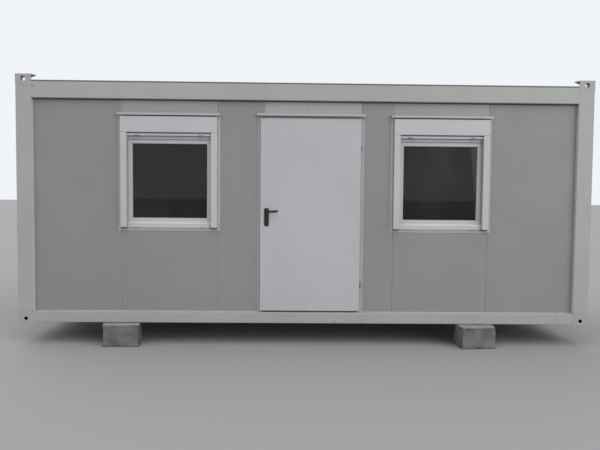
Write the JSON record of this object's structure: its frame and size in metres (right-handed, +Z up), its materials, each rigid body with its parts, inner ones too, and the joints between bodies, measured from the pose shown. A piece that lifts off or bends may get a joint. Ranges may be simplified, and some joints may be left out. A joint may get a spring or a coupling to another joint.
{
  "type": "sanitary container",
  "caption": "Steel-framed sanitary container on concrete blocks, with insulated panel walls, a hinged door with a lever handle, and windows with raised roller shutters.",
  "frame": {"origin": "on the ground, at the centre of the footprint", "axes": "+X along the length, to the right as seen from the front; +Y from the front wall with the door towards the back; +Z up"},
  "size_m": [6.055, 2.7416, 2.826],
  "materials": {
    "frame_paint": "semi-gloss grey-white paint, a little dirt and some rust",
    "panel_paint": "satin coated sheet, light grey",
    "window_plastic": "smooth white",
    "shutter_paint": "satin white coated aluminium",
    "window_glass": "clear insulating glass, dark with the room behind it",
    "door_paint": "satin white powder coat",
    "trim_paint": "semi-gloss grey-white paint",
    "hinge_steel": "satin galvanised and painted",
    "handle_plastic": "satin black",
    "galvanised_sheet": "dull galvanised sheet",
    "floor_board": "matt board with a plain grey covering",
    "ceiling_panel": "satin white coated panel",
    "roof_trim": "satin dark grey coated sheet",
    "concrete": "rough cast concrete with chipped edges"
  },
  "bodies": {
    "container": {"back_wall_panels": "panel_paint", "bottom_corner_fittings": "frame_paint", "bottom_end_rails": "frame_paint", "bottom_long_rails": "frame_paint", "ceiling_panel": "ceiling_panel", "concrete_blocks": "concrete", "corner_post_back_left": "frame_paint", "corner_post_back_right": "frame_paint", "corner_post_front_left": "frame_paint", "corner_post_front_right": "frame_paint", "door_frame": "door_paint", "door_header_left": "panel_paint", "door_header_right": "panel_paint", "drip_strips": "trim_paint", "floor_cross_members": "galvanised_sheet", "floor_deck": "floor_board", "floor_underside_sheet": "galvanised_sheet", "front_lintel_left": "panel_paint", "front_lintel_right": "panel_paint", "front_panel_beside_door_left": "panel_paint", "front_panel_beside_door_right": "panel_paint", "front_panel_left": "panel_paint", "front_panel_right": "panel_paint", "front_parapet_left": "panel_paint", "front_parapet_right": "panel_paint", "hinge_frame_halves": "hinge_steel", "left_end_panels": "panel_paint", "right_end_panels": "panel_paint", "roof_edge_trim": "roof_trim", "roof_sheet": "galvanised_sheet", "shutter_bottom_slats": "shutter_paint", "shutter_boxes": "shutter_paint", "shutter_guides": "shutter_paint", "top_corner_fittings": "frame_paint", "top_end_rails": "frame_paint", "top_long_rails": "frame_paint", "window_frames": "window_plastic", "window_glass": "window_glass", "window_sashes": "window_plastic"},
    "door": {"door_leaf": "door_paint", "hinge_leaf_halves": "hinge_steel", "handle_plates": "handle_plastic"},
    "lever": {"door_lever": "handle_plastic"}
  },
  "joints": [
    {"name": "door_swing", "type": "hinge", "parent": "container", "child": "door", "pos_m": [0.582, -1.1975, 1.375], "axis": [0, 0, 1], "range_deg": [0, 110]},
    {"name": "handle_turn", "type": "hinge", "parent": "door", "child": "lever", "pos_m": [-0.4205, -1.1745, 1.42], "axis": [0, 1, 0], "range_deg": [0, 40], "stiffness_Nm_per_rad": 1, "springref_deg": -20.05}
  ]
}
